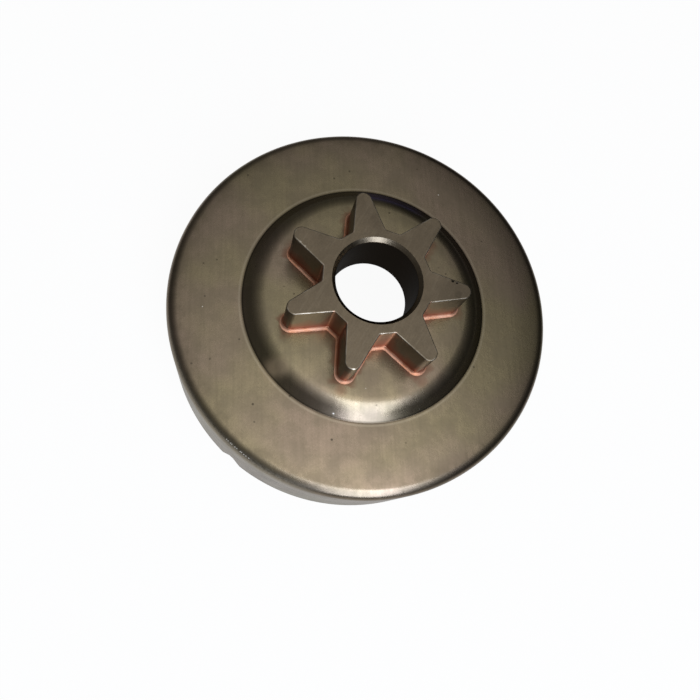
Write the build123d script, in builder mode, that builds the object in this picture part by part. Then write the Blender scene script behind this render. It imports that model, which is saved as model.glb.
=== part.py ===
"""Clutch drum of a chainsaw with a star-shaped spur sprocket brazed to its face.

Frame: millimetres, +Z up along the axis of rotation. The origin is on the axis, in the plane of the open rim
that the drum stands on, so the star is on top. The rim notch is at -Y.
"""

import os
from math import acos, atan2, cos, hypot, pi, radians, sin, tan

from build123d import *

# Driving dimensions of the pressed drum
drum_outer_d = 79.0
skirt_wall = 2.5
floor_wall = 2.0
face_height = 20.0
edge_round = 2.9
rim_break = 0.3

# Raised boss in the middle of the face, with a sloping side and a soft shoulder
boss_foot_d = 49.8
boss_rise = 2.75
boss_slope = 40.0
shoulder_round = 4.3

# Corner of the cup inside
inner_break = 1.4

# Notch in the rim that turns the oil pump's drive spring
notch_mouth = 6.6
notch_end = 3.6
notch_depth = 6.2
notch_round = 1.2

# Star sprocket: gullet_d is twice the distance from the axis to a gullet's flat bottom
tooth_count = 7
tip_d = 36.3
tip_round = 1.55
gullet_d = 21.0
gullet_flat = 3.0
star_height = 9.2
tooth_lead = -2.2

# Bearing bore and the spigot that goes through the drum
bore_d = 16.0
bore_chamfer = 0.75
spigot_wall = 1.6
spigot_proud = 0.6

# Copper braze: the film in the joint, the bead round the star and the bead under the boss
braze_film = 0.1
braze_leg = 0.75
bead_slope = 45.0
lower_braze_leg = 0.5

# Heights and radii that follow from these
outer_r = drum_outer_d / 2
inner_r = outer_r - skirt_wall
boss_top = face_height + boss_rise
boss_under = boss_top - floor_wall
star_seat = boss_top + braze_film
star_top = star_seat + star_height
bore_r = bore_d / 2
spigot_r = bore_r + spigot_wall
hub_hole_r = spigot_r + braze_film
spigot_end = boss_under - spigot_proud

# The boss's sloping side, and the hollow under it, shifted inwards so that the sheet keeps its thickness
boss_foot_r = boss_foot_d / 2
boss_edge_r = boss_foot_r - boss_rise / tan(radians(boss_slope))
sheet_shift = floor_wall * tan(radians(boss_slope) / 2)
hollow_foot_r = boss_foot_r - sheet_shift
hollow_top_r = boss_edge_r - sheet_shift

# Clutch drum: one section through the sheet, turned about the axis, then notched
with BuildPart() as clutch_drum:
    with BuildSketch(Plane.XZ) as sheet_section:
        with BuildLine():
            Polyline(
                (inner_r, 0),
                (outer_r, 0),
                (outer_r, face_height),
                (boss_foot_r, face_height),
                (boss_edge_r, boss_top),
                (hub_hole_r, boss_top),
                (hub_hole_r, boss_under),
                (hollow_top_r, boss_under),
                (hollow_foot_r, face_height - floor_wall),
                (inner_r, face_height - floor_wall),
                close=True,
            )
        make_face()
        for r, z, radius in ((outer_r, face_height, edge_round), (boss_edge_r, boss_top, shoulder_round)):
            bend = sheet_section.vertices().sort_by_distance(Vector(r, z))[0]
            fillet(bend, radius)
        cup_corner = sheet_section.vertices().sort_by_distance(Vector(inner_r, face_height - floor_wall))[0]
        chamfer(cup_corner, inner_break)
        rim_corners = sheet_section.vertices().group_by(Axis.Y)[0]
        chamfer(rim_corners, rim_break)
    revolve(axis=Axis.Z)
    with BuildSketch(Plane.XZ) as notch_shape:
        with BuildLine():
            Polyline(
                (-notch_mouth / 2, 0),
                (notch_mouth / 2, 0),
                (notch_end / 2, notch_depth),
                (-notch_end / 2, notch_depth),
                close=True,
            )
        make_face()
        fillet(notch_shape.vertices().group_by(Axis.Y)[-1], notch_round)
    extrude(amount=drum_outer_d, mode=Mode.SUBTRACT)
clutch_drum.part.label = "clutch_drum"


def tooth_point(distance, sideways, turn):
    """Return a point given along and across a tooth's middle line, with the tooth turned to its place."""
    return Vector(distance, sideways).rotate(Axis.Z, turn)


def draw_star():
    """Draw the star's closed outline: for each tooth two straight flanks, a round tip and a gullet flat."""
    pitch = 360 / tooth_count
    half_pitch = pi / tooth_count
    root_x = gullet_d / 2 * cos(half_pitch) + gullet_flat / 2 * sin(half_pitch)
    root_y = gullet_d / 2 * sin(half_pitch) - gullet_flat / 2 * cos(half_pitch)
    tip_x = tip_d / 2
    tip_centre = tip_x - tip_round
    run = hypot(root_x - tip_centre, root_y)
    touch = atan2(root_y, root_x - tip_centre) - acos(tip_round / run)
    touch_x = tip_centre + tip_round * cos(touch)
    touch_y = tip_round * sin(touch)
    for tooth in range(tooth_count):
        turn = 90 + tooth_lead + tooth * pitch
        near_root = tooth_point(root_x, -root_y, turn)
        near_touch = tooth_point(touch_x, -touch_y, turn)
        far_touch = tooth_point(touch_x, touch_y, turn)
        far_root = tooth_point(root_x, root_y, turn)
        Line(near_root, near_touch)
        ThreePointArc(near_touch, tooth_point(tip_x, 0, turn), far_touch)
        Line(far_touch, far_root)
        Line(far_root, tooth_point(root_x, -root_y, turn + pitch))


# Spur sprocket: the toothed prism, its spigot and the bearing bore through both
with BuildPart() as spur_sprocket:
    with BuildSketch(Plane.XY.offset(star_seat)):
        with BuildLine():
            draw_star()
        make_face()
    extrude(amount=star_height)
    with BuildSketch(Plane.XY.offset(spigot_end)):
        Circle(spigot_r)
    extrude(amount=star_seat - spigot_end)
    with Locations((0, 0, star_top)):
        Hole(bore_r)
    bore_wall = spur_sprocket.faces(Select.LAST).filter_by(GeomType.CYLINDER)[0]
    chamfer(bore_wall.edges().filter_by(GeomType.CIRCLE), bore_chamfer)
spur_sprocket.part.label = "spur_sprocket"

# Copper braze: bead, film under the star, sleeve round the spigot and the small bead below
with BuildPart() as copper_braze:
    with BuildSketch(Plane.XY.offset(boss_top)):
        with BuildLine():
            draw_star()
        make_face()
        offset(amount=braze_leg, kind=Kind.INTERSECTION)
    extrude(amount=braze_leg, taper=bead_slope)
    with BuildSketch(Plane.XY.offset(star_seat)):
        with BuildLine():
            draw_star()
        make_face()
    extrude(amount=star_height, mode=Mode.SUBTRACT)
    with BuildSketch(Plane.XZ):
        with BuildLine():
            Polyline(
                (spigot_r, star_seat),
                (hub_hole_r, star_seat),
                (hub_hole_r, boss_under),
                (hub_hole_r + lower_braze_leg, boss_under),
                (spigot_r, boss_under - lower_braze_leg),
                close=True,
            )
        make_face()
    revolve(axis=Axis.Z)
    with BuildSketch(Plane.XY.offset(spigot_end)):
        Circle(spigot_r)
    extrude(amount=star_top - spigot_end, mode=Mode.SUBTRACT)
copper_braze.part.label = "copper_braze"

os.makedirs("parts", exist_ok=True)
export_step(clutch_drum.part, "parts/clutch_drum.step")
export_step(spur_sprocket.part, "parts/spur_sprocket.step")
export_step(copper_braze.part, "parts/copper_braze.step")
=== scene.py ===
# %% [markdown]
# # A chainsaw's clutch drum with its brazed star
# The part is a steel cup that the saw's clutch turns, with a seven-toothed star on its face that pulls the
# chain. It has three pieces: the pressed drum, the star and the copper that joins them in a brazing furnace.
# The CAD model comes in first and is the frame for everything else: in metres, with the rim on the floor and
# the axis along +Z.

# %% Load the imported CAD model
import math

import bmesh
import bpy
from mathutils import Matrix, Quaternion, Vector


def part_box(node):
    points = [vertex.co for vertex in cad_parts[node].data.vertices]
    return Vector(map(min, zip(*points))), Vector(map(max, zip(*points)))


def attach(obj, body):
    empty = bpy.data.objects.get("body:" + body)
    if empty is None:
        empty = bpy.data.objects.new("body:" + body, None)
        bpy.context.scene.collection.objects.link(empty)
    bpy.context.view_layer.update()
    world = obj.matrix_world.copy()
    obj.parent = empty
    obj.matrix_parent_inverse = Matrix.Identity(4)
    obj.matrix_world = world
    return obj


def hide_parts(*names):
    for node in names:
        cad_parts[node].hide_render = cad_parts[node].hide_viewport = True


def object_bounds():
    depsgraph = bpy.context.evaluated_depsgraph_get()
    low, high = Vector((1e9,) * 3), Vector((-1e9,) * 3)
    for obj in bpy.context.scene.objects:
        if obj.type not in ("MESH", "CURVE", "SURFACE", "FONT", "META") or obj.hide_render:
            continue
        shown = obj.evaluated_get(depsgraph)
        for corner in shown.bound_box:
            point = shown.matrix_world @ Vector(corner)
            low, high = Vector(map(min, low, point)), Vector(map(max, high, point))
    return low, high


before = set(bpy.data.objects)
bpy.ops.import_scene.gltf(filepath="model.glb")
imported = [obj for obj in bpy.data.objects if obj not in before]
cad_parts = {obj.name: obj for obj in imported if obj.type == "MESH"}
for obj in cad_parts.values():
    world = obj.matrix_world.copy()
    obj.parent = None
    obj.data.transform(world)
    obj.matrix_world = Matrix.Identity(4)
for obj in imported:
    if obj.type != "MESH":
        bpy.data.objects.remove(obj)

MM = 0.001
cad_low, cad_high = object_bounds()
print("CAD nodes:", sorted(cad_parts))
print("CAD box in mm:", [round(v / MM, 2) for v in (*cad_low, *cad_high)])

# %% [markdown]
# ## Two helpers for every node tree
# Materials and Geometry Nodes are both graphs. Building one is mostly three acts: add a node, set its
# options, feed its inputs. One function does all three for any kind of node. It feeds the inputs that are
# open, in order, and takes a number, a socket, or another node, whose first open output it uses. A kind is
# named without the word ShaderNode or GeometryNode before it. Colours are written as sRGB hex, as in any
# paint program. Blender computes in linear light, so one function converts them by the standard's formula.

# %% One function for nodes and one for colours
def plug(tree, socket, value):
    """Feed a socket with a plain value, another socket, or a node's first open output."""
    if isinstance(value, bpy.types.Node):
        value = next(output for output in value.outputs if output.enabled)
    if isinstance(value, bpy.types.NodeSocket):
        tree.links.new(value, socket)
    elif value is not None:
        socket.default_value = value


def put(tree, kind, *feeds, named=None, **settings):
    """Add a node, set its settings, and feed its open inputs in order, then the named ones."""
    prefix = "GeometryNode" if hasattr(bpy.types, "GeometryNode" + kind) else "ShaderNode"
    node = tree.nodes.new(prefix + kind)
    for key, value in settings.items():
        setattr(node, key, value)
    open_inputs = [socket for socket in node.inputs if socket.enabled]
    for socket, value in zip(open_inputs, feeds):
        plug(tree, socket, value)
    for key, value in (named or {}).items():
        plug(tree, next(socket for socket in open_inputs if socket.name == key), value)
    return node


def linear(hex_colour):
    """Turn an sRGB hex colour such as "A29680" into linear RGBA."""
    channels = [int(hex_colour[i:i + 2], 16) / 255 for i in (0, 2, 4)]
    return [c / 12.92 if c <= 0.04045 else ((c + 0.055) / 1.055) ** 2.4 for c in channels] + [1.0]


print("Mid grey in linear light:", [round(c, 3) for c in linear("808080")])

# %% [markdown]
# ## The camera
# The photograph was taken from above and a little to one side, with the camera held turned. A camera is
# fully given by where it stands, the point that it looks at, how far it is rolled about that line, and its
# lens. These were found by fitting the drum's rings, the bore and the star's teeth to the picture.

# %% Stand the camera where the photograph was taken
camera_eye = Vector((10.324, -51.634, 143.831)) * MM
camera_aim = Vector((4.224, -10.008, 20.0)) * MM
camera_roll = math.radians(33.23)
camera_lens = 33.87
camera_near = 5 * MM

camera = bpy.data.objects.new("camera", bpy.data.cameras.new("camera"))
camera.data.lens = camera_lens
camera.data.clip_start = camera_near
camera.location = camera_eye
camera.rotation_mode = "QUATERNION"
level_look = (camera_aim - camera_eye).to_track_quat("-Z", "Y")
camera.rotation_quaternion = level_look @ Quaternion((0, 0, 1), camera_roll)
bpy.context.scene.collection.objects.link(camera)
bpy.context.scene.camera = camera
print("Camera to the face:", round((camera_aim - camera_eye).length / MM, 1), "mm")

# %% [markdown]
# ## Sizes of the star and the drum
# These are the CAD model's own sizes in millimetres. The star follows a rule: each tooth has two straight
# flanks that lead from a gullet's flat to a round tip. If the flanks are carried on until they meet, a tooth
# is just three corners, two roots and a pointed apex, and rounding the apex gives the tip back. The angle at
# which a flank touches the tip's circle fixes that apex.

# %% Work out the star's three corners per tooth
tooth_count = 7
tip_r = 36.3 / 2
tip_round = 1.55
gullet_r = 21.0 / 2
gullet_flat = 3.0
first_tooth = math.radians(90 - 2.2)
half_pitch = math.pi / tooth_count

root_x = gullet_r * math.cos(half_pitch) + gullet_flat / 2 * math.sin(half_pitch)
root_y = gullet_r * math.sin(half_pitch) - gullet_flat / 2 * math.cos(half_pitch)
tip_centre = tip_r - tip_round
flank_run = math.hypot(root_x - tip_centre, root_y)
flank_facing = math.atan2(root_y, root_x - tip_centre) - math.acos(tip_round / flank_run)
flank_offset = tip_centre * math.cos(flank_facing) + tip_round
apex_r = tip_centre + tip_round / math.cos(flank_facing)
root_r = math.hypot(root_x, root_y)
root_angle = math.atan2(root_y, root_x)
print("Apex at", round(apex_r, 2), "mm, roots at", round(root_r, 2), "mm from the axis")

# %% [markdown]
# The pieces share some heights and radii, because they sit on each other. They are taken from the loaded
# nodes where they can be, so that they follow the CAD model.

# %% Take the heights and radii that the pieces share
braze_film = 0.1
star_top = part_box("spur_sprocket")[1].z / MM
spigot_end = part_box("spur_sprocket")[0].z / MM
boss_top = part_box("clutch_drum")[1].z / MM
star_seat = boss_top + braze_film
outer_r = cad_high.x / MM
face_z = 20.0
sheet = 2.0
foot_r = 49.8 / 2
side_slope = math.radians(40)
bore_r = 8.0
bore_chamfer = 0.75
spigot_r = 9.6
hole_r = spigot_r + braze_film
print("Boss at", round(boss_top, 2), "mm, star's top at", round(star_top, 2), "mm")

# %% [markdown]
# ## Geometry Nodes: starting a tree and using it
# A tree gets named inputs, so its sizes can still be changed in the modifier panel. The modifier stores each
# input under the socket's identifier, which is why the values go in by identifier. Every tree ends the same
# way: smooth shading with creases where the metal has an edge, and the material. When the shape is done, the
# evaluated result is copied to a plain mesh and the modifier goes, because the exported model can't carry
# live modifiers.

# %% Helpers to start a tree and to draw the line that it starts from
def start_tree(name, sizes, takes_geometry=True):
    """Start a Geometry Nodes tree with named inputs; return the tree, its input node and its output node."""
    tree = bpy.data.node_groups.new(name, "GeometryNodeTree")
    tree.interface.new_socket("Geometry", in_out="OUTPUT", socket_type="NodeSocketGeometry")
    if takes_geometry:
        tree.interface.new_socket("Geometry", in_out="INPUT", socket_type="NodeSocketGeometry")
    for label, value in sizes.items():
        kind = "NodeSocketInt" if isinstance(value, int) else "NodeSocketFloat"
        tree.interface.new_socket(label, in_out="INPUT", socket_type=kind).default_value = value
    return tree, tree.nodes.new("NodeGroupInput"), tree.nodes.new("NodeGroupOutput")


def wire_object(name, corners, closed):
    """Make an object from a line of corners (radius, height, bend) in mm, with the bend as an attribute."""
    mesh = bpy.data.meshes.new(name)
    count = len(corners)
    edges = [(i, (i + 1) % count) for i in range(count if closed else count - 1)]
    mesh.from_pydata([(r * MM, 0, z * MM) for r, z, _ in corners], edges, [])
    bend = mesh.attributes.new("bend", "FLOAT", "POINT")
    bend.data.foreach_set("value", [b * MM for _, _, b in corners])
    obj = bpy.data.objects.new(name, mesh)
    bpy.context.scene.collection.objects.link(obj)
    print(name, "starts from", count, "corners")
    return obj


# %% Helpers to end a tree and to settle its result
def dress(tree, output, mesh, material, crease=None):
    """End a tree: shade the mesh smooth but for edges past the crease angle, and give it its material."""
    shaded = put(tree, "SetShadeSmooth", mesh, None, True)
    if crease:
        edge_angle = put(tree, "InputMeshEdgeAngle")
        is_crease = put(tree, "Math", edge_angle, crease, operation="GREATER_THAN")
        shaded = put(tree, "SetShadeSmooth", shaded, is_crease, False, domain="EDGE")
    real = put(tree, "RealizeInstances", shaded)
    clad = put(tree, "SetMaterial", real, None, material)
    tree.links.new(clad.outputs["Geometry"], output.inputs["Geometry"])


def grow(obj, tree, sizes):
    """Set a tree on an object with the given sizes and swap in the result as a mesh with faces outwards."""
    modifier = obj.modifiers.new(tree.name, "NODES")
    modifier.node_group = tree
    for item in tree.interface.items_tree:
        if item.in_out == "INPUT" and item.name in sizes:
            modifier[item.identifier] = sizes[item.name]
    flatten = obj.modifiers.new("weighted normals", "WEIGHTED_NORMAL")
    flatten.keep_sharp = True
    graph = bpy.context.evaluated_depsgraph_get()
    plain = bpy.data.meshes.new_from_object(obj.evaluated_get(graph))
    obj.modifiers.clear()
    obj.data = plain
    plain.name = obj.name
    shell = bmesh.new()
    shell.from_mesh(plain)
    bmesh.ops.recalc_face_normals(shell, faces=shell.faces)
    open_edges = sum(1 for edge in shell.edges if not edge.is_manifold)
    triangles = sum(len(face.verts) - 2 for face in shell.faces)
    shell.to_mesh(plain)
    shell.free()
    print(obj.name, "has", triangles, "triangles and", open_edges, "open edges")


# %% [markdown]
# ## A tree for everything that was turned or pressed round
# The drum's cup and the star's bore are round, so one section through the wall says it all. The section is a
# line of corners, and each corner carries its own bend as an attribute. The tree rounds every corner by its
# bend and sweeps the line round a circle. The rail has a small radius of its own, which is taken off the
# section first.

# %% Tree: round a section's corners and turn it about the axis
rail_r = 4 * MM
turn_sizes = {"Steps round": 240, "Bend steps": 7}
turned, turned_in, turned_out = start_tree("turned section", turn_sizes)
size = turned_in.outputs

line = put(turned, "MeshToCurve", size["Geometry"])
bend_size = put(turned, "InputNamedAttribute", "bend", data_type="FLOAT")
rounded = put(turned, "FilletCurve", line, size["Bend steps"], bend_size, True, mode="POLY")
place = put(turned, "SeparateXYZ", put(turned, "InputPosition"))
across = put(turned, "Math", place.outputs["X"], rail_r, operation="SUBTRACT")
down = put(turned, "Math", place.outputs["Z"], -1.0, operation="MULTIPLY")
flat_section = put(turned, "CombineXYZ", across, down, 0.0)
profile = put(turned, "SetPosition", rounded, None, flat_section)
rail = put(turned, "CurvePrimitiveCircle", size["Steps round"], rail_r)
swept = put(turned, "CurveToMesh", rail, profile)
turned.links.new(swept.outputs["Mesh"], turned_out.inputs["Geometry"])
print("Turned section:", len(turned.nodes), "nodes")

# %% [markdown]
# ## A tree for the star's outline
# Every third point of a ring of points becomes a tooth's apex and the two beside it become its roots. The
# remainder of a point's number divided by three says which of the three it is. Rounding the corners then
# gives round tips and slightly soft roots. Both the star and the braze bead use this outline, so it is a
# tree of its own.

# %% Tree: the outline of the star
outline_sizes = {
    "Teeth": tooth_count,
    "Root radius": root_r * MM,
    "Root angle": root_angle,
    "Apex radius": apex_r * MM,
    "Tip round": tip_round * MM,
    "Root round": 0.5 * MM,
    "First tooth": first_tooth,
    "Height": 0.0,
    "Points": 1120,
}
corners_per_tooth = 3.0
apex_corner = 1.0
same_number = 0.1
corner_steps = 24
outline, outline_in, outline_out = start_tree("star outline", outline_sizes, takes_geometry=False)
size = outline_in.outputs

number = put(outline, "InputIndex")
corner = put(outline, "Math", number, corners_per_tooth, operation="MODULO")
third = put(outline, "Math", number, corners_per_tooth, operation="DIVIDE")
tooth = put(outline, "Math", third, operation="FLOOR")
at_tip = put(outline, "Math", corner, apex_corner, same_number, operation="COMPARE")
pitch = put(outline, "Math", math.tau, size["Teeth"], operation="DIVIDE")
turn = put(outline, "Math", tooth, pitch, size["First tooth"], operation="MULTIPLY_ADD")
side = put(outline, "Math", corner, apex_corner, operation="SUBTRACT")
angle = put(outline, "Math", side, size["Root angle"], turn, operation="MULTIPLY_ADD")
reach = put(outline, "Mix", at_tip, size["Root radius"], size["Apex radius"])
cosine = put(outline, "Math", angle, operation="COSINE")
sine = put(outline, "Math", angle, operation="SINE")
x = put(outline, "Math", cosine, reach, operation="MULTIPLY")
y = put(outline, "Math", sine, reach, operation="MULTIPLY")
spot = put(outline, "CombineXYZ", x, y, size["Height"])
corner_count = put(outline, "Math", size["Teeth"], corners_per_tooth, operation="MULTIPLY")
ring = put(outline, "CurvePrimitiveCircle", corner_count, 1.0)
pointed = put(outline, "SetPosition", ring, None, spot)
corner_round = put(outline, "Mix", at_tip, size["Root round"], size["Tip round"])
softened = put(outline, "FilletCurve", pointed, corner_steps, corner_round, True, mode="POLY")
even = put(outline, "ResampleCurve", softened, None, size["Points"])
upright = put(outline, "SetCurveNormal", even, mode="Z_UP")
outline.links.new(upright.outputs["Curve"], outline_out.inputs["Geometry"])
print("Star outline:", len(outline.nodes), "nodes")

# %% [markdown]
# ## Helpers for the materials
# A finish is a stack of coats: the bare metal, what the furnace did to it, and what handling did later. Each
# coat is a mask worked out from the place on the part in millimetres, so it stays put whatever looks at it.
# Spots are soft dots at measured places. Flecks are small dots strewn through space at random. Masks are cut
# down by multiplying them. Three more functions lay the coats of colour, change the roughness and stack the
# bumps.

# %% Helpers: start a material and make masks
def start_material(name, metallic):
    """Start a material; return it, its tree, its shader and the place on the part in mm."""
    material = bpy.data.materials.new(name)
    material.use_nodes = True
    tree = material.node_tree
    shader = tree.nodes["Principled BSDF"]
    shader.inputs["Metallic"].default_value = metallic
    place = put(tree, "TexCoord").outputs["Object"]
    mm_place = put(tree, "VectorMath", place, operation="SCALE", named={"Scale": 1 / MM})
    return material, tree, shader, mm_place


soft = {"interpolation_type": "SMOOTHSTEP"}


def spots(tree, mm_place, places, edge_mm):
    """Return a mask of soft spots, each given as x, y, z and radius in mm, that fade out over edge_mm."""
    mask = None
    for x, y, z, radius in places:
        gap = put(tree, "VectorMath", mm_place, (x, y, z), operation="DISTANCE")
        spot = put(tree, "MapRange", gap, radius, radius + edge_mm, 1.0, 0.0, **soft)
        mask = put(tree, "Math", mask, spot, operation="MAXIMUM") if mask else spot
    return mask


def patches(tree, mm_place, size_mm, band, shares, detail=3.0, roughness=0.5, **settings):
    """Return noise with patches of about size_mm, and a mask that goes between two shares over a band."""
    feeds = {"Scale": 1 / size_mm, "Detail": detail, "Roughness": roughness}
    noise = put(tree, "TexNoise", mm_place, named=feeds)
    return noise, put(tree, "MapRange", noise, *band, *shares, **settings)


def streaks(tree, mm_place, widths_mm, detail, turn=0.0):
    """Return noise that is stretched to the given widths and turned about the axis."""
    place = put(tree, "Mapping", mm_place, None, (0, 0, turn), widths_mm, vector_type="TEXTURE")
    return put(tree, "TexNoise", place, named={"Scale": 1.0, "Detail": detail})


def flecks(tree, mm_place, spacing_mm, radius_mm):
    """Return a mask of small dots strewn through space, of which a surface cuts a few."""
    cells = put(tree, "TexVoronoi", mm_place, named={"Scale": 1 / spacing_mm})
    size = radius_mm / spacing_mm
    return put(tree, "MapRange", cells, size / 2, size, 1.0, 0.0)


def overlap(tree, mask, *others):
    """Return what is left of a mask where it meets others, or a plain share of it."""
    for other in others:
        mask = put(tree, "Math", mask, other, operation="MULTIPLY")
    return mask


print("Mask helpers ready")

# %% Helpers: put masks to work as colour, roughness and bump
def paint(tree, shader, ground, *coats):
    """Colour a shader with a ground and coats over it, each coat given as a mask and a hex colour."""
    colour = linear(ground)
    for mask, hex_colour in coats:
        colour = put(tree, "Mix", mask, colour, linear(hex_colour), data_type="RGBA")
    plug(tree, shader.inputs["Base Color"], colour)


def roughen(tree, shader, roughness, *changes):
    """Set a shader's roughness, changed by what each mask adds to it."""
    for mask, added in changes:
        roughness = put(tree, "Math", mask, added, roughness, operation="MULTIPLY_ADD")
    plug(tree, shader.inputs["Roughness"], roughness)


def emboss(tree, shader, *reliefs):
    """Stack bumps on a shader, each given as a height pattern, a strength and a depth in mm."""
    normal = None
    for height, strength, depth_mm in reliefs:
        feeds = {"Strength": strength, "Distance": depth_mm * MM, "Height": height, "Normal": normal}
        normal = put(tree, "Bump", named=feeds)
    plug(tree, shader.inputs["Normal"], normal)


print("Coat helpers ready")

# %% [markdown]
# The braze leaves its traces along the star's outline, so the materials need the distance to it. Folding the
# angle into half a tooth leaves one straight flank and one gullet flat, and the distance to two lines is
# simple algebra. A third distance, to the circle of the tips, ends the teeth.

# %% Helpers: how far a place is from the axis and from the star's outline
def from_axis(tree, mm_place):
    """Return the coordinates of a place and its distance from the axis."""
    parts = put(tree, "SeparateXYZ", mm_place).outputs
    flat_place = put(tree, "CombineXYZ", parts["X"], parts["Y"], 0.0)
    return parts, put(tree, "VectorMath", flat_place, operation="LENGTH")


def from_star(tree, mm_place):
    """Return the distance in mm from the star's outline, negative inside it."""
    parts, radius = from_axis(tree, mm_place)
    heading = put(tree, "Math", parts["Y"], parts["X"], operation="ARCTAN2")
    shifted = put(tree, "Math", heading, half_pitch - first_tooth + math.tau, operation="ADD")
    wrapped = put(tree, "Math", shifted, 2 * half_pitch, operation="FLOORED_MODULO")
    centred = put(tree, "Math", wrapped, half_pitch, operation="SUBTRACT")
    folded = put(tree, "Math", centred, operation="ABSOLUTE")
    cosine = put(tree, "Math", folded, operation="COSINE")
    sine = put(tree, "Math", folded, operation="SINE")
    along = put(tree, "Math", cosine, radius, operation="MULTIPLY")
    aside = put(tree, "Math", sine, radius, operation="MULTIPLY")
    halfway = put(tree, "CombineXYZ", along, aside, 0.0)
    gaps = []
    for facing, offset in ((flank_facing, flank_offset), (half_pitch, gullet_r)):
        normal = (math.cos(facing), math.sin(facing), 0)
        reach = put(tree, "VectorMath", halfway, normal, operation="DOT_PRODUCT")
        gaps.append(put(tree, "Math", reach, offset, operation="SUBTRACT"))
    off_tip = put(tree, "Math", radius, tip_r, operation="SUBTRACT")
    off_tooth = put(tree, "Math", gaps[0], off_tip, operation="MAXIMUM")
    return put(tree, "Math", off_tooth, gaps[1], operation="MINIMUM")


print("Outline masks ready")

# %% [markdown]
# ## Steel of the drum
# The drum is low-carbon steel sheet, pressed to shape and then taken through a brazing furnace. The
# protective gas leaves it clean but dull: a warm grey with a soft sheen, in places more olive and in places
# more mauve, and cloudy where gas and oil have touched it. Seen close it keeps the faint lines of the
# rolling mill and a fine grain. To the eye this gives a satin that is even from afar and alive from near.
# The grain is drawn three times as coarse as it is, because the real one would vanish between the pixels. A
# band is the pair of noise levels, or of places in millimetres, between which a mask rises or falls.

# %% Drum steel: tints, clouds, rolling lines and grain
tint_mm = 21.0
cloud_mm = 5.0
grain_mm = 0.35
rolling_mm = (14.0, 0.5, 14.0)
rolling_turn = math.radians(133)
tint_band = (0.36, 0.64)
cloud_band = (0.35, 0.65)
line_band = (0.4, 0.7)
grain_band = (0.3, 0.7)
full = (0.0, 1.0)
cloud_shares = (0.0, 0.42)
mill_shares = (0.0, 0.2)
grain_shares = (0.0, 0.3)
drum_steel, steel, steel_shader, steel_mm = start_material("pressed_steel_furnace_annealed", 1.0)
steel_xyz, steel_r = from_axis(steel, steel_mm)

_, tint_mask = patches(steel, steel_mm, tint_mm, tint_band, full, **soft)
clouds, cloud_mask = patches(steel, steel_mm, cloud_mm, cloud_band, cloud_shares, 4.0, 0.6, **soft)
mill_lines = streaks(steel, steel_mm, rolling_mm, 2.0, rolling_turn)
mill_mask = put(steel, "MapRange", mill_lines, *line_band, *mill_shares)
grain, grain_mask = patches(steel, steel_mm, grain_mm, grain_band, grain_shares, 3.0, 0.7)
print(drum_steel.name, "bare metal:", len(steel.nodes), "nodes")

# %% [markdown]
# Copper has crept over the boss from the joint, further in some places than in others, and farthest off two
# of the teeth. Noise changes the reach of the stain, which only shows on the top of the boss.

# %% Drum steel: copper creep on the boss
creep_mm = 2.5
creep_band = (0.35, 0.7)
creep_start = 0.3
creep_reaches = (0.8, 2.6)
creep_share = 0.6
creep_tips = [(18.9, -6.0, boss_top, 0.4), (8.2, -18.2, boss_top, 0.3)]
creep_tip_fade = 1.5
creep_tip_share = 0.4
boss_band = (boss_top - 0.4, boss_top - 0.1)

to_star = from_star(steel, steel_mm)
_, creep_end = patches(steel, steel_mm, creep_mm, creep_band, creep_reaches)
creep_fade = put(steel, "MapRange", to_star, creep_start, creep_end, creep_share, 0.0, **soft)
creep_spots = overlap(steel, spots(steel, steel_mm, creep_tips, creep_tip_fade), creep_tip_share)
creep_all = put(steel, "Math", creep_fade, creep_spots, operation="MAXIMUM")
on_boss = put(steel, "MapRange", steel_xyz["Z"], *boss_band, 0.0, 1.0)
creep_mask = overlap(steel, creep_all, on_boss)
print("Copper creeps up to", creep_reaches[1], "mm from the star")

# %% [markdown]
# A blue temper tint sits on the far side of the boss, where the steel met air while it was hot. The place in
# space alone can't tell the sheet's upper skin from its underside, so the distance along the sloping side's
# own normal keeps the tint on the upper skin. The same mask serves the two lines round the boss's foot: a
# painted shade line in the sharp corner, and just outside it a thin painted highlight.

# %% Drum steel: temper tint, and the painted shade and highlight lines round the boss's foot
temper_places = [(-8.3, 22.3, 21.0, 2.4), (-12.4, 20.2, 21.0, 2.4)]
temper_fade = 3.6
temper_share = 0.8
shoulder_band = (boss_top - 0.3, boss_top - 0.8)
foot_band = (foot_r - 0.4, foot_r)
side_normal = (math.sin(side_slope), math.cos(side_slope), 0)
foot_offset = foot_r * math.sin(side_slope) + face_z * math.cos(side_slope)
skin_band = (foot_offset - 1.2, foot_offset - 0.8)
foot_highlight_offset = 0.55

section_place = put(steel, "CombineXYZ", steel_r, steel_xyz["Z"], 0.0)
off_side = put(steel, "VectorMath", section_place, side_normal, operation="DOT_PRODUCT")
outer_skin = put(steel, "MapRange", off_side, *skin_band, 0.0, 1.0)
temper_spots = spots(steel, steel_mm, temper_places, temper_fade)
below_shoulder = put(steel, "MapRange", steel_xyz["Z"], *shoulder_band, 0.0, temper_share)
inside_foot = put(steel, "MapRange", steel_r, *foot_band, 1.0, 0.0)
temper_mask = overlap(steel, temper_spots, outer_skin, below_shoulder, inside_foot)


def ring_line(radius, half_widths, share):
    """Return a mask of a thin ring on the outer skin, full at one half width and gone at the other."""
    off_ring = put(steel, "Math", steel_r, radius, operation="SUBTRACT")
    gap = put(steel, "Math", off_ring, operation="ABSOLUTE")
    return overlap(steel, put(steel, "MapRange", gap, *half_widths, share, 0.0), outer_skin)


# Painted shade in the corner at the boss's foot, and a painted highlight line just outside it.
painted_foot_shade = ring_line(foot_r, half_widths=(0.08, 0.35), share=0.6)
painted_foot_highlight = ring_line(foot_r + foot_highlight_offset, half_widths=(0.05, 0.3), share=0.24)
print("Lines at", round(foot_r, 2), "mm and", round(foot_r + foot_highlight_offset, 2), "mm from the axis")

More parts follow.
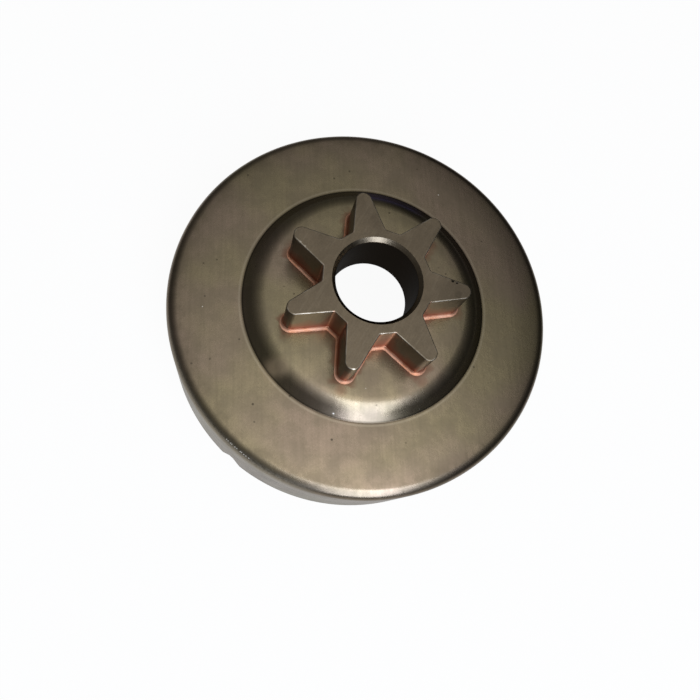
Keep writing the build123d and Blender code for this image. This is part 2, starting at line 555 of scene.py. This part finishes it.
# %% [markdown]
# Scale has left dark specks and handling has left light nicks, both strewn at random. A few marks have their
# own places: a dull patch and a smudge on the boss's side, one nick beside them and, just above the notch, a
# row of short scuffs from the punch.

# %% Drum steel: specks, dull patch, smudge, nicks and scuffs
def around(radius, azimuth, z):
    """Return the place at a radius, an azimuth in degrees from +X and a height."""
    turn = math.radians(azimuth)
    return radius * math.cos(turn), radius * math.sin(turn), z


speck_gap, speck_r = 4.0, 0.3
speck_share = 0.6
nick_gap, nick_r = 5.0, 0.16
nick_shift = (31.0, 17.0, 9.0)
nick_fade = 0.12
nick_places = [(10.08, -22.17, 20.7, nick_r)]
dull_places = [(-4.4, -23.6, 21.3, 0.5), (-3.5, -23.0, 21.9, 0.3)]
dull_fade = 2.8
dull_share = 0.5
smudge_places = [(-3.6, -22.4, 22.2, 0.4)]
smudge_fade = 1.2
smudge_share = 0.4
scuff_azimuths = (-92.6, -92.0, -91.1, -90.6, -89.5, -88.8, -87.6, -87.1, -86.3, -85.6, -84.6)
scuff_at, scuff_z, scuff_r = 38.87, 19.0, 0.08
scuff_places = [(*around(scuff_at, azimuth, scuff_z), scuff_r) for azimuth in scuff_azimuths]

specks = flecks(steel, steel_mm, speck_gap, speck_r)
dull_spots = spots(steel, steel_mm, dull_places, dull_fade)
dull_mask = overlap(steel, dull_spots, dull_share)
smudges = overlap(steel, spots(steel, steel_mm, smudge_places, smudge_fade), smudge_share)
dark_spots = put(steel, "Math", specks, smudges, operation="MAXIMUM")
speck_mask = overlap(steel, dark_spots, speck_share)
shifted_mm = put(steel, "VectorMath", steel_mm, nick_shift, operation="ADD")
strewn_nicks = flecks(steel, shifted_mm, nick_gap, nick_r)
set_nicks = spots(steel, steel_mm, scuff_places + nick_places, nick_fade)
nicks = put(steel, "Math", strewn_nicks, set_nicks, operation="MAXIMUM")
print("Scuffs above the notch:", len(scuff_places))

# %% [markdown]
# The drawing ring has drawn fine upright lines down the skirt's wall. The bend round the face is darker in
# patches, partly a thin brown film and partly painted shade that deepens the dark band of reflection there,
# and on the side of the notch it is rubbed pale, in grains, by the boxes and benches that it has lain on.

# %% Drum steel: drawn skirt, bend with film and painted shade, and rubbed side
draw_mm = (0.35, 0.35, 5.0)
draw_share = 0.5
skirt_band = (14.0, 17.0)
bend_band = (34.6, 37.2)
above_band = (16.5, 18.5)
film_and_shade_share = 0.3
rub_azimuth = 262
rub_band = (0.75, 0.93)
rub_low = (15.8, 17.2)
rub_high = (18.9, 19.6)
rub_grain_band = (0.35, 0.6)
rub_least = 0.35

on_skirt = put(steel, "MapRange", steel_xyz["Z"], *skirt_band, 1.0, 0.0)
skirt_lines = overlap(steel, streaks(steel, steel_mm, draw_mm, 2.0), on_skirt)
skirt_mask = put(steel, "MapRange", skirt_lines, *line_band, 0.0, draw_share)

on_bend = put(steel, "MapRange", steel_r, *bend_band, *full, **soft)
above_skirt = put(steel, "MapRange", steel_xyz["Z"], *above_band, *full, **soft)
film_and_shade_patches = put(steel, "MapRange", clouds, *cloud_band, 0.0, film_and_shade_share)
film_and_shade_mask = overlap(steel, on_bend, above_skirt, film_and_shade_patches)

rub_facing = around(1 / outer_r, rub_azimuth, 0.0)
rub_side = put(steel, "VectorMath", steel_mm, rub_facing, operation="DOT_PRODUCT")
rub_sector = put(steel, "MapRange", rub_side, *rub_band, *full, **soft)
rub_below = put(steel, "MapRange", steel_xyz["Z"], *rub_high, 1.0, 0.0)
rub_above = put(steel, "MapRange", steel_xyz["Z"], *rub_low, 0.0, 1.0)
rub_grain = put(steel, "MapRange", grain, *rub_grain_band, rub_least, 1.0)
rub_mask = overlap(steel, rub_below, rub_above, rub_sector, rub_grain)
print(drum_steel.name, "with its traces:", len(steel.nodes), "nodes")

# %% [markdown]
# Now the coats go on in the order in which they came about. Roughness follows the same story: cloudy where
# the metal is cloudy, duller where copper, scale or a dull patch lies on it or where it is scuffed. Three
# bumps break up the edges of every reflection: a soft one like orange peel, the grain, and the lines on the
# skirt.

# %% Drum steel: coats, roughness and bump
peel_mm = 1.1
rough_range = (0.24, 0.31)
paint(
    steel, steel_shader, "978B6E",
    (tint_mask, "998776"),
    (cloud_mask, "776E5B"),
    (mill_mask, "6F6653"),
    (grain_mask, "6E6450"),
    (creep_mask, "7A503D"),
    (temper_mask, "7E72A4"),
    (dull_mask, "C4AA88"),
    (speck_mask, "3F382C"),
    (skirt_mask, "615B49"),
    # the bend's patches: partly a brown film, partly painted shade on its dark band
    (film_and_shade_mask, "5F5443"),
    # painted shade in the boss's corner, then a painted highlight just outside it
    (rub_mask, "B5AB99"),
    (painted_foot_shade, "332B20"),
    (painted_foot_highlight, "BDB29C"),
    (nicks, "E8E2D6"),
)
base_rough = put(steel, "MapRange", clouds, *grain_band, *rough_range)
rougher = ((dull_spots, 0.28), (creep_mask, 0.12), (specks, 0.2), (rub_mask, 0.2), (nicks, 0.35))
roughen(steel, steel_shader, base_rough, *rougher)
peel = put(steel, "TexNoise", steel_mm, named={"Scale": 1 / peel_mm, "Detail": 1.0})
emboss(steel, steel_shader, (peel, 0.32, 0.02), (grain, 0.5, 0.012), (skirt_lines, 0.4, 0.01))
print(drum_steel.name, "has", len(steel.nodes), "nodes")

# %% [markdown]
# ## Steel of the star
# The star is cut from a tougher steel, faced flat on top and brazed in the same furnace run, so it is a
# little greyer and duller than the drum. Facing leaves faint scratches that all run one way. To the eye the
# star is the matt piece of the two, and its bright edges draw its outline.

# %% Star steel: clouds, grain and facing scratches
star_cloud_mm = 5.0
star_grain_mm = 0.3
star_grain_shares = (0.0, 0.35)
scratch_mm = (3.0, 0.4, 3.0)
scratch_turn = math.radians(100)
scratch_band = (0.5, 0.75)
scratch_share = 0.16
star_steel, star, star_shader, star_mm = start_material("machined_steel_furnace_brazed", 1.0)
star_xyz, star_r = from_axis(star, star_mm)

star_clouds, star_cloud_mask = patches(star, star_mm, star_cloud_mm, cloud_band, full, 6.0, 0.7)
star_grain, star_grain_mask = patches(star, star_mm, star_grain_mm, grain_band, star_grain_shares, 3.0, 0.7)
scratches = streaks(star, star_mm, scratch_mm, 3.0, scratch_turn)
scratch_mask = put(star, "MapRange", scratches, *scratch_band, 0.0, scratch_share)
print(star_steel.name, "bare metal:", len(star.nodes), "nodes")

# %% [markdown]
# Molten copper wets the hot flanks and climbs them by capillary action: all the way up in the tight gullets,
# about halfway on the open flanks and high again at the tips, and never quite evenly. So the flanks go from
# dark brown to fox red. In the corner between gullet and flank a bright thread of copper stands upright.

# %% Star steel: copper that has climbed the flanks
climb_mm = 2.5
climb_swings = (-1.2, 1.6)
gullet_band = (root_r, root_r + 1.5)
gullet_climbs = (star_seat + 10.0, star_seat + 4.5)
tip_band = (tip_r - 1.6, tip_r - 0.2)
tip_climbs = (star_seat, star_seat + 7.5)
climb_share = 0.95
flank_band = (-0.22, -0.12)
scorch_share = 0.1
thread_inner = (root_r - 0.09, root_r - 0.02)
thread_outer = (root_r + 0.12, root_r + 0.3)
thread_share = 0.45

climb_noise, climb_swing = patches(star, star_mm, climb_mm, grain_band, climb_swings)
climb_gullet = put(star, "MapRange", star_r, *gullet_band, *gullet_climbs)
climb_tip = put(star, "MapRange", star_r, *tip_band, *tip_climbs)
climb_reach = put(star, "Math", climb_gullet, climb_tip, operation="MAXIMUM")
climb_top = put(star, "Math", climb_reach, climb_swing, operation="ADD")
climb = put(star, "MapRange", star_xyz["Z"], star_seat, climb_top, climb_share, 0.0)
star_gap = from_star(star, star_mm)
on_flank = put(star, "MapRange", star_gap, *flank_band, 0.0, 1.0)
scorch_mask = overlap(star, on_flank, scorch_share)
climb_mask = overlap(star, climb, on_flank)
thread_in = put(star, "MapRange", star_r, *thread_inner, 0.0, thread_share)
thread_out = put(star, "MapRange", star_r, *thread_outer, 1.0, 0.0)
thread_mask = overlap(star, thread_in, thread_out, on_flank)
print("Gullets are red up to", round(gullet_climbs[0] - star_seat, 1), "mm above the seat")

# %% [markdown]
# Along the top edge runs a painted highlight, patchy with noise, and three small painted glints sit on the
# top edges of the teeth. The top of one tooth is stained and has small pits and a dimple. The bore is
# ground, and its wall is coloured a darker brown.

# %% Star steel: painted edge highlight and glints, pits, stain and dark bore
edge_mm = 0.28
edge_band = (-edge_mm, -edge_mm / 3)
top_band = (star_top - edge_mm, star_top - edge_mm / 2)
highlight_patch_band = (0.4, 0.65)
highlight_patch_shares = (0.15, 0.9)
glint_places = [(7.73, -16.39, 31.9, 0.25), (-15.48, -4.59, 31.9, 0.22), (-14.29, -4.54, 31.9, 0.12)]
glint_fade = 0.2
pit_places = [(10.6, 10.0, star_top, 0.2), (11.42, 10.23, star_top, 0.12)]
pit_fade = 0.12
dimple_places = [(13.07, 8.73, star_top, 0.5)]
dimple_fade = 0.5
dimple_share = 0.15
stain_places = [(14.0, 8.5, star_top, 3.0)]
stain_fade = 4.0
stain_share = 0.4
bore_band = (bore_r + 0.02, bore_r + 0.06)

# Painted highlight along the star's top edge, broken into patches by noise, and painted glints.
near_edge = put(star, "MapRange", star_gap, *edge_band, 0.0, 1.0)
near_top = put(star, "MapRange", star_xyz["Z"], *top_band, 0.0, 1.0)
highlight_patches = put(star, "MapRange", climb_noise, *highlight_patch_band, *highlight_patch_shares)
painted_edge_highlight = overlap(star, near_edge, near_top, highlight_patches)
painted_burr_glints = spots(star, star_mm, glint_places, glint_fade)
painted_highlight_mask = put(star, "Math", painted_edge_highlight, painted_burr_glints, operation="MAXIMUM")
pits = spots(star, star_mm, pit_places, pit_fade)
dimples = overlap(star, spots(star, star_mm, dimple_places, dimple_fade), dimple_share)
pit_mask = put(star, "Math", pits, dimples, operation="MAXIMUM")
stain_mask = overlap(star, spots(star, star_mm, stain_places, stain_fade), stain_share)
in_bore = put(star, "MapRange", star_r, *bore_band, 1.0, 0.0)
print("Marks on the star:", len(glint_places + pit_places + dimple_places + stain_places))

# %% [markdown]
# The coats go on as on the drum. Grinding smooths the bore, and the painted highlight on the edge is given
# less roughness too, so both are less rough than the rest. The bumps are the upright lines that the cutter
# leaves on the flanks, the grain, and the pits, which go inwards.

# %% Star steel: coats, roughness and bump
cutter_mm = (0.4, 0.4, 9.0)
line_end = (star_top - 0.3, star_top - 0.2)
star_rough_range = (0.34, 0.44)
ground_r = bore_r + bore_chamfer
ground_band = (ground_r - 0.05, ground_r + 0.05)
paint(
    star, star_shader, "776B59",
    (star_cloud_mask, "887A65"),
    (star_grain_mask, "5C5347"),
    (scratch_mask, "A89C87"),
    (scorch_mask, "54463A"),
    (climb_mask, "9A5036"),
    (thread_mask, "DDA387"),
    # painted highlight along the top edge and painted glints
    (painted_highlight_mask, "BDB4A4"),
    (stain_mask, "554C40"),
    (pit_mask, "2E2A23"),
    (in_bore, "594A38"),
)
star_rough = put(star, "MapRange", star_clouds, *grain_band, *star_rough_range)
ground = put(star, "MapRange", star_r, *ground_band, 1.0, 0.0)
roughen(star, star_shader, star_rough, (painted_highlight_mask, -0.12), (ground, -0.1))
below_top = put(star, "MapRange", star_xyz["Z"], *line_end, 1.0, 0.0)
flank_lines = overlap(star, streaks(star, star_mm, cutter_mm, 1.0), below_top)
pit_depth = overlap(star, pit_mask, -1.0)
emboss(star, star_shader, (flank_lines, 0.5, 0.02), (star_grain, 0.6, 0.015), (pit_depth, 0.6, 0.1))
print(star_steel.name, "has", len(star.nodes), "nodes")

# %% [markdown]
# ## Braze copper
# Copper that has melted and set in the furnace keeps a soft, slightly frosted skin. It is salmon where it is
# clean, redder where it has taken up iron, and dull enough to show as an even line rather than as a string
# of glints.

# %% Copper: colour, roughness and bump
copper_cloud_mm = 2.2
copper_grain_mm = 0.25
copper_rough_range = (0.5, 0.6)
braze_copper, copper, copper_shader, copper_mm = start_material("furnace_braze_copper", 1.0)
copper_cloud, copper_mask = patches(copper, copper_mm, copper_cloud_mm, cloud_band, full)
paint(copper, copper_shader, "C08767", (copper_mask, "D2A489"))
copper_rough = put(copper, "MapRange", copper_cloud, *grain_band, *copper_rough_range)
roughen(copper, copper_shader, copper_rough)
frost = put(copper, "TexNoise", copper_mm, named={"Scale": 1 / copper_grain_mm, "Detail": 2.0})
emboss(copper, copper_shader, (frost, 0.4, 0.02))
print(braze_copper.name, "has", len(copper.nodes), "nodes")

# %% [markdown]
# ## The drum
# A press draws the cup from flat sheet, so every corner is a bend, outside and inside, and the sheet about
# keeps its thickness. The CAD drum has plain inner corners and level faces. Here the section gets its inner
# bends too, and slight crowns: the face falls a little towards its outer edge and the boss towards its
# shoulder, as sheet does that has sprung back from the tool. A crown is a corner with a very large bend.

# %% Section of the pressed sheet, as corners with bends
skirt_wall = 2.5
inner_r = outer_r - skirt_wall
boss_rise = boss_top - face_z
side_run = boss_rise / math.tan(side_slope)
sheet_shift = sheet * math.tan(side_slope / 2)
edge_start_r = 34.4
edge_fall = 0.25
crown_r = 18.6
crown_fall = 0.1
shoulder_r = 22.05
drum_section = [
    (inner_r, 0.0, 0.3),
    (outer_r, 0.0, 0.3),
    (outer_r, face_z - edge_fall, 2.4),
    (edge_start_r, face_z, 120.0),
    (foot_r, face_z, 0.2),
    (shoulder_r, boss_top - crown_fall, 4.8),
    (crown_r, boss_top, 60.0),
    (hole_r, boss_top, 0.0),
    (hole_r, boss_top - sheet, 0.2),
    (foot_r - side_run - sheet_shift, boss_top - sheet, 2.8),
    (foot_r - sheet_shift, face_z - sheet, 2.0),
    (inner_r, face_z - sheet, 1.6),
]
drum = wire_object("drum_pressing", drum_section, closed=True)

# %% [markdown]
# The notch in the rim is punched last: a prism is cut off the turned mesh inside the same tree. The prism's
# section is a trapezoid that is centred on the rim, so its upper half has the notch's shape and its lower
# half hangs in the air. The notch is a little narrower than the CAD model's, as the photograph shows it.

# %% Tree: turn the section and punch the notch
drum_sizes = {
    "Steps round": 240,
    "Bend steps": 9,
    "Notch mouth": 5.0 * MM,
    "Notch end": 0.9 * MM,
    "Notch depth": 5.4 * MM,
    "Notch round": 0.35 * MM,
    "Outer radius": outer_r * MM,
}
punch_reach = 6 * MM
punch_steps = 8
drum_crease = math.radians(32)
pressing, pressing_in, pressing_out = start_tree("drum pressing", drum_sizes)
size = pressing_in.outputs

turn_feeds = {label: size[label] for label in ("Geometry", "Steps round", "Bend steps")}
cup = put(pressing, "Group", node_tree=turned, named=turn_feeds)
full_depth = put(pressing, "Math", size["Notch depth"], 2.0, operation="MULTIPLY")
twice_mouth = put(pressing, "Math", size["Notch mouth"], 2.0, operation="MULTIPLY")
below_mouth = put(pressing, "Math", twice_mouth, size["Notch end"], operation="SUBTRACT")
trapezoid = put(
    pressing, "CurvePrimitiveQuadrilateral", mode="TRAPEZOID",
    named={"Height": full_depth, "Bottom Width": size["Notch end"], "Top Width": below_mouth, "Offset": 0.0},
)
corner_place = put(pressing, "SeparateXYZ", put(pressing, "InputPosition"))
inner_end = put(pressing, "Math", corner_place.outputs["Y"], 0.0, operation="LESS_THAN")
end_round = put(pressing, "Math", inner_end, size["Notch round"], operation="MULTIPLY")
punch_shape = put(pressing, "FilletCurve", trapezoid, punch_steps, end_round, True, mode="POLY")
punch_ends = []
for reach in (punch_reach, -punch_reach):
    end_y = put(pressing, "Math", reach, size["Outer radius"], operation="SUBTRACT")
    punch_ends.append(put(pressing, "CombineXYZ", 0.0, end_y, 0.0))
punch_line = put(pressing, "CurvePrimitiveLine", *punch_ends)
punch_rail = put(pressing, "SetCurveNormal", punch_line, mode="Z_UP")
punch = put(pressing, "CurveToMesh", punch_rail, punch_shape, None, True)
notched = put(pressing, "MeshBoolean", cup, punch, operation="DIFFERENCE", solver="EXACT")
dress(pressing, pressing_out, notched, drum_steel, drum_crease)
grow(drum, pressing, drum_sizes)

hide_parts("clutch_drum")
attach(drum, "root")

# %% [markdown]
# ## The star
# The star is a toothed prism with a spigot below and a chamfered bore through both. The bore and the spigot
# are one turned section, which stays open where the prism's top and underside join it.

# %% Section of the star's spigot and bore
star_section = [
    (spigot_r, star_seat, 0.0),
    (spigot_r, spigot_end, 0.25),
    (bore_r + bore_chamfer, spigot_end, 0.05),
    (bore_r, spigot_end + bore_chamfer, 0.05),
    (bore_r, star_top - bore_chamfer, 0.05),
    (bore_r + bore_chamfer, star_top, 0.0),
]
sprocket = wire_object("star_sprocket", star_section, closed=False)

# %% [markdown]
# The prism is swept: a straight line carried round the outline gives the flanks, and a small curve on top of
# it gives the soft edge that tumbling leaves. The top and the underside are filled between the outline and a
# circle. All of it is then merged to one closed skin.

# %% Tree: the toothed prism round the bore
star_sizes = dict(outline_sizes)
star_sizes.update({
    "Steps round": 240,
    "Bend steps": 4,
    "Seat": star_seat * MM,
    "Top": star_top * MM,
    "Edge round": 0.2 * MM,
    "Bore rim": (bore_r + bore_chamfer) * MM,
    "Spigot radius": spigot_r * MM,
})
edge_steps = 4
weld_gap = 0.004 * MM
star_crease = math.radians(38)
prism, prism_in, prism_out = start_tree("toothed prism", star_sizes)
size = prism_in.outputs

turn_feeds = {label: size[label] for label in ("Geometry", "Steps round", "Bend steps")}
bore = put(prism, "Group", node_tree=turned, named=turn_feeds)
shared = {label: size[label] for label in outline_sizes if label != "Height"}
low_line = put(prism, "Group", node_tree=outline, named={**shared, "Height": size["Seat"]})
high_line = put(prism, "Group", node_tree=outline, named={**shared, "Height": size["Top"]})
height = put(prism, "Math", size["Top"], size["Seat"], operation="SUBTRACT")
drop = put(prism, "Math", size["Edge round"], height, operation="SUBTRACT")
less_height = put(prism, "Math", height, -1.0, operation="MULTIPLY")
inwards = put(prism, "Math", size["Edge round"], -1.0, operation="MULTIPLY")
flank_end = put(prism, "CombineXYZ", 0.0, drop, 0.0)
edge_knee = put(prism, "CombineXYZ", 0.0, less_height, 0.0)
edge_end = put(prism, "CombineXYZ", inwards, less_height, 0.0)
flank_line = put(prism, "CurvePrimitiveLine", (0, 0, 0), flank_end)
edge_curve = put(prism, "CurveQuadraticBezier", edge_steps, flank_end, edge_knee, edge_end)

facing = put(prism, "InputNormal")
pull_in = put(prism, "VectorMath", facing, operation="SCALE", named={"Scale": inwards})
top_line = put(prism, "SetPosition", high_line, None, None, pull_in)
skin = put(prism, "JoinGeometry", bore)
for sweep_line in (flank_line, edge_curve):
    sweep = put(prism, "CurveToMesh", low_line, sweep_line)
    prism.links.new(sweep.outputs["Mesh"], skin.inputs["Geometry"])
for edge_line, hole, level in ((top_line, "Bore rim", "Top"), (low_line, "Spigot radius", "Seat")):
    ring = put(prism, "CurvePrimitiveCircle", size["Steps round"], size[hole])
    rims = put(prism, "JoinGeometry", edge_line)
    prism.links.new(ring.outputs["Curve"], rims.inputs["Geometry"])
    cap = put(prism, "FillCurve", rims, mode="NGONS")
    lift = put(prism, "CombineXYZ", 0.0, 0.0, size[level])
    level_cap = put(prism, "Transform", cap, named={"Translation": lift})
    prism.links.new(level_cap.outputs["Geometry"], skin.inputs["Geometry"])
closed_skin = put(prism, "MergeByDistance", skin, None, weld_gap)
dress(prism, prism_out, closed_skin, star_steel, star_crease)
grow(sprocket, prism, star_sizes)

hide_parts("spur_sprocket")
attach(sprocket, "root")

# %% [markdown]
# ## The braze bead
# Copper is laid on as a ring or paste, melts in the furnace and is drawn into the joint. What is left
# outside sets as a thin fillet between the star's foot and the boss, a little fuller in the gullets and
# never quite even. Its face is hollow, because the molten copper pulled itself up both walls.

# %% Profile of the bead, outwards and upwards from the star's foot
bead_leg = 0.56
bead_root = -0.25
bead_sink = -0.04
arc_steps = 8
arc_turns = [math.radians(90 * step / arc_steps) for step in range(arc_steps + 1)]
hollow = [(bead_leg * (1 - math.sin(t)), bead_leg * (1 - math.cos(t)), 0.0) for t in arc_turns]
bead_foot = [(bead_root, bead_sink, 0.0), (bead_leg - bead_sink, bead_sink, 0.0)]
bead_profile = [*bead_foot, *hollow, (bead_root, bead_leg, 0.0)]
bead = wire_object("braze_bead", bead_profile, closed=True)

# %% [markdown]
# The profile is carried along the star's outline, and noise makes it fuller and leaner on the way. A second
# ring of it sits below, upside down, where the spigot comes through the boss.

# %% Tree: carry the bead round the star's foot and round the spigot
bead_sizes = dict(outline_sizes)
bead_sizes.update({
    "Root round": 1.4 * MM,
    "Points": 900,
    "Steps round": 160,
    "Height": boss_top * MM,
    "Spigot radius": spigot_r * MM,
    "Under boss": (boss_top - sheet) * MM,
    "Unevenness": 0.25,
    "Patch size": 2.6 * MM,
    "Seed": 4.0,
})
noise_middle = 0.5
beading, beading_in, beading_out = start_tree("braze bead", bead_sizes)
size = beading_in.outputs

profile_wire = put(beading, "MeshToCurve", size["Geometry"])
spot = put(beading, "SeparateXYZ", put(beading, "InputPosition"))
turned_down = put(beading, "Math", spot.outputs["Z"], -1.0, operation="MULTIPLY")
upper_flat = put(beading, "CombineXYZ", spot.outputs["X"], turned_down, 0.0)
lower_flat = put(beading, "CombineXYZ", spot.outputs["X"], spot.outputs["Z"], 0.0)
upper_profile = put(beading, "SetPosition", profile_wire, None, upper_flat)
lower_profile = put(beading, "SetPosition", profile_wire, None, lower_flat)

patch_scale = put(beading, "Math", 1.0, size["Patch size"], operation="DIVIDE")
patch_feeds = {"W": size["Seed"], "Scale": patch_scale, "Detail": 2.0}
bead_noise = put(beading, "TexNoise", noise_dimensions="4D", named=patch_feeds)
swing = put(beading, "Math", bead_noise, noise_middle, operation="SUBTRACT")
fullness = put(beading, "Math", swing, size["Unevenness"], 1.0, operation="MULTIPLY_ADD")

shared = {label: size[label] for label in outline_sizes}
foot_line = put(beading, "Group", node_tree=outline, named=shared)
upper = put(beading, "CurveToMesh", foot_line, upper_profile, fullness)
spigot_ring = put(beading, "CurvePrimitiveCircle", size["Steps round"], size["Spigot radius"])
lift = put(beading, "CombineXYZ", 0.0, 0.0, size["Under boss"])
spigot_line = put(beading, "Transform", spigot_ring, named={"Translation": lift})
lower = put(beading, "CurveToMesh", spigot_line, lower_profile, fullness)
both = put(beading, "JoinGeometry", upper)
beading.links.new(lower.outputs["Mesh"], both.inputs["Geometry"])
dress(beading, beading_out, both, braze_copper)
grow(bead, beading, bead_sizes)

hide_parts("copper_braze")
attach(bead, "root")

# %% [markdown]
# ## Floor
# The part stands on a matt white table, which to the eye is a plain white ground with a faint shadow. The
# camera sees it white by itself, without more light on the part. Metal mirrors the table too, and what
# mirrors
# see of it is painted: a painted shadow under the drum, a faint glow under the bore, a painted pool of light
# close round it and dimmer light farther out.

# %% White floor that keeps the shadow
def grey(level):
    """Return a neutral colour at a level of linear light."""
    return (level, level, level, 1)


floor_half = 3.0
floor_drop = -0.02 * MM
floor_signs = ((-1, -1), (1, -1), (1, 1), (-1, 1))
floor_corners = [(x * floor_half, y * floor_half, floor_drop) for x, y in floor_signs]
floor_mesh = bpy.data.meshes.new("floor")
floor_mesh.from_pydata(floor_corners, [], [(0, 1, 2, 3)])
floor = bpy.data.objects.new("floor", floor_mesh)
bpy.context.scene.collection.objects.link(floor)

pool_mm = 300.0
pool_middle, pool_end = 0.06, 0.08
# Painted shadow and painted light that mirrors see on the table: levels of glow by distance from the axis in
# mm.
painted_light_levels = (
    (12, 0.06), (20, 0.0), (39.4, 0.0), (39.6, 0.62), (60, 0.6), (80, 0.42), (111, 0.22), (200, 0.12)
)
camera_white = 0.95
table_white, table, table_shader, table_mm = start_material("matt_white_table", 0.0)
table_shader.inputs["Base Color"].default_value = linear("F2F2F0")
table_shader.inputs["Roughness"].default_value = 0.9
rays = put(table, "LightPath").outputs
mirror_rays = (rays["Is Glossy Ray"], rays["Is Transmission Ray"])
mirrored = put(table, "Math", *mirror_rays, operation="MAXIMUM")
table_r = put(table, "VectorMath", table_mm, operation="LENGTH")
pool = put(table, "ValToRGB", put(table, "Math", table_r, pool_mm, operation="DIVIDE"))
pool.color_ramp.interpolation = "EASE"
pool.color_ramp.elements[0].color = grey(pool_middle)
pool.color_ramp.elements[1].color = grey(pool_end)
for reach_mm, level in painted_light_levels:
    pool.color_ramp.elements.new(reach_mm / pool_mm).color = grey(level)
painted_mirror_light = overlap(table, mirrored, pool)
whiteness = put(table, "Math", rays["Is Camera Ray"], painted_mirror_light, operation="MAXIMUM")
paper = put(table, "Emission", grey(1.0), whiteness)
camera_share = overlap(table, rays["Is Camera Ray"], camera_white)
white_share = put(table, "Math", camera_share, mirrored, operation="MAXIMUM")
lifted = put(table, "MixShader", white_share, table_shader, paper)
table.links.new(lifted.outputs["Shader"], table.nodes["Material Output"].inputs["Surface"])
floor_mesh.materials.append(table_white)
print("Floor is", 2 * floor_half, "m wide")

# %% [markdown]
# ## Light
# The photograph was taken in a dim room. Metal shows what surrounds it, so the light matters as much as the
# material. A glow nearly overhead fades with the angle from its middle, and one side of the room cuts it
# off. The rest of the room stays dark, and that gives the edges their dark bands.

# %% Room light: a soft overhead glow and a dark rest
def toward(azimuth, elevation):
    """Return the direction at an azimuth from +X and an elevation, in degrees."""
    rise = math.radians(elevation)
    return Vector(around(math.cos(rise), azimuth, math.sin(rise)))


glow_middle = toward(8, 74)
glow_strength = 1.6
glow_by_angle = (
    (90, 0.05), (70, 0.08), (55, 0.14), (42, 0.24), (32, 0.39), (22, 0.64), (16, 0.98), (9, 1.22), (4, 1.5)
)
dark_side = toward(47, 0)
dark_band = (0.27, 0.48)
dark_level = 0.13
world = bpy.data.worlds.new("studio")
world.use_nodes = True
bpy.context.scene.world = world
room = world.node_tree
sky = room.nodes["Background"]
sky.inputs["Strength"].default_value = glow_strength
look = put(room, "TexCoord").outputs["Generated"]
glow_height = put(room, "VectorMath", look, glow_middle, operation="DOT_PRODUCT")
glow = put(room, "ValToRGB", glow_height)
glow.color_ramp.interpolation = "EASE"
for angle, level in glow_by_angle:
    glow.color_ramp.elements.new(math.cos(math.radians(angle))).color = grey(level)
glow.color_ramp.elements.remove(glow.color_ramp.elements[0])
to_dark_side = put(room, "VectorMath", look, dark_side, operation="DOT_PRODUCT")
dimming = put(room, "MapRange", to_dark_side, *dark_band, 1.0, dark_level, **soft)
dimmed = put(room, "VectorMath", glow, operation="SCALE", named={"Scale": dimming})
room.links.new(dimmed.outputs["Vector"], sky.inputs["Color"])
print("Glow has", len(glow.color_ramp.elements), "levels")

# %% [markdown]
# A tall, cool window stands low in front. It draws the pale streak on the boss's shoulder and along the
# outer edge. Its roll turns the streak a little, as in the photograph.

# %% Window: one area light
window_size = (0.34, 0.92)
window_energy = 5.5
window_tint = (0.7, 0.8, 1.0)
window_direction = toward(323.6, 35)
window_distance = 0.7
window_roll = math.radians(-10)
window = bpy.data.objects.new("window", bpy.data.lights.new("window", "AREA"))
window.data.shape = "RECTANGLE"
window.data.size, window.data.size_y = window_size
window.data.energy = window_energy
window.data.color = window_tint
window.location = window_direction * window_distance
window.rotation_mode = "QUATERNION"
facing_part = (-window_direction).to_track_quat("-Z", "Y")
window.rotation_quaternion = facing_part @ Quaternion((0, 0, 1), window_roll)
bpy.context.scene.collection.objects.link(window)
print("Window stands", window_distance, "m from the part")

# %% [markdown]
# ## Last step
# The Standard view shows colours as they are written.

# %% Finish with the Standard view
bpy.context.scene.view_settings.view_transform = "Standard"
